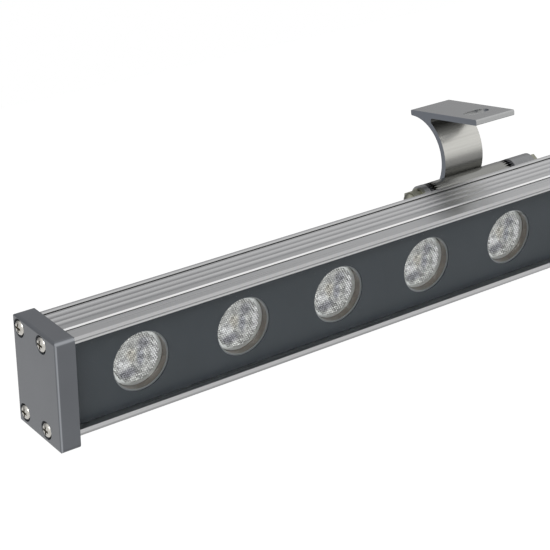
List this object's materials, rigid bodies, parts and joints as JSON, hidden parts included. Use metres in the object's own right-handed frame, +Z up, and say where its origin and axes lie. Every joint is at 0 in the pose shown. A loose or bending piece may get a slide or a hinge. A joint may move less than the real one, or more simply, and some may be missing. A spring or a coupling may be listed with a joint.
{
  "type": "linear floodlight",
  "caption": "Slim extruded aluminium bar floodlight with a row of lensed LEDs behind glass, on two slotted tilting brackets that slide along its rear slot.",
  "frame": {"origin": "on the top face of the bracket plates, midway between their two slotted holes", "axes": "+X along the lamp towards the cable gland, the lamp shines towards -Y and a little down, +Z up out of the mounting plates"},
  "size_m": [1.0203, 0.052, 0.0668],
  "materials": {
    "anodised_extrusion": "clear anodised extrusion with fine lengthwise lines",
    "coated_cap": "fine bluish grey powder coat",
    "bracket_aluminium": "satin anodised, slightly darker than the housing",
    "carrier_aluminium": "bright satin aluminium",
    "stainless_steel": "bright cold-formed fasteners",
    "clear_glass": "clear polished glass",
    "dark_mask": "smooth dark grey film",
    "lens_acrylic": "clear acrylic with a fine pattern of dots on the face",
    "holder_plastic": "moulded grey-brown plastic",
    "led_phosphor": "pale yellow LED resin",
    "board_white": "white solder resist on the board",
    "white_nylon": "white moulded terminal block",
    "black_rubber": "matt black silicone",
    "grey_pad": "soft grey thermal pad",
    "nickel_plated": "nickel plated brass"
  },
  "bodies": {
    "brackets": {"bracket_arm_left": "bracket_aluminium", "bracket_arm_right": "bracket_aluminium"},
    "carriers": {"hinge_carrier_left": "carrier_aluminium", "hinge_carrier_right": "carrier_aluminium", "pivot_bolt_left": "stainless_steel", "pivot_bolt_right": "stainless_steel", "pivot_washers_left": "stainless_steel", "pivot_washers_right": "stainless_steel", "pivot_nut_left": "stainless_steel", "pivot_nut_right": "stainless_steel", "carrier_grub_screws_left": "stainless_steel", "carrier_grub_screws_right": "stainless_steel"},
    "lamp": {"housing": "anodised_extrusion", "end_cap_left": "coated_cap", "end_cap_right": "coated_cap", "cap_gasket_left": "black_rubber", "cap_gasket_right": "black_rubber", "cap_screws_left": "stainless_steel", "cap_screws_right": "stainless_steel", "front_glass": "clear_glass", "front_mask": "dark_mask", "glass_seal": "black_rubber", "led_board": "board_white", "thermal_pad": "grey_pad", "led_packages": "led_phosphor", "lens_holders": "holder_plastic", "board_screws": "stainless_steel", "terminal_block": "white_nylon", "gland_body": "nickel_plated", "gland_nut": "nickel_plated", "gland_seal": "black_rubber", "gland_washer": "black_rubber", "lens_01": "lens_acrylic", "lens_02": "lens_acrylic", "lens_03": "lens_acrylic", "lens_04": "lens_acrylic", "lens_05": "lens_acrylic", "lens_06": "lens_acrylic", "lens_07": "lens_acrylic", "lens_08": "lens_acrylic", "lens_09": "lens_acrylic", "lens_10": "lens_acrylic", "lens_11": "lens_acrylic", "lens_12": "lens_acrylic", "lens_13": "lens_acrylic", "lens_14": "lens_acrylic", "lens_15": "lens_acrylic", "lens_16": "lens_acrylic", "lens_17": "lens_acrylic", "lens_18": "lens_acrylic", "lens_19": "lens_acrylic", "lens_20": "lens_acrylic", "lens_21": "lens_acrylic", "lens_22": "lens_acrylic", "lens_23": "lens_acrylic", "lens_24": "lens_acrylic"}
  },
  "joints": [
    {"name": "lamp_tilt", "type": "hinge", "parent": "brackets", "child": "carriers", "pos_m": [0, 0.0082, -0.0292], "axis": [1, 0, 0], "range_deg": [-45, 80]},
    {"name": "lamp_shift", "type": "slide", "parent": "carriers", "child": "lamp", "axis": [1, 0, 0], "range_m": [-0.15, 0.15]}
  ]
}
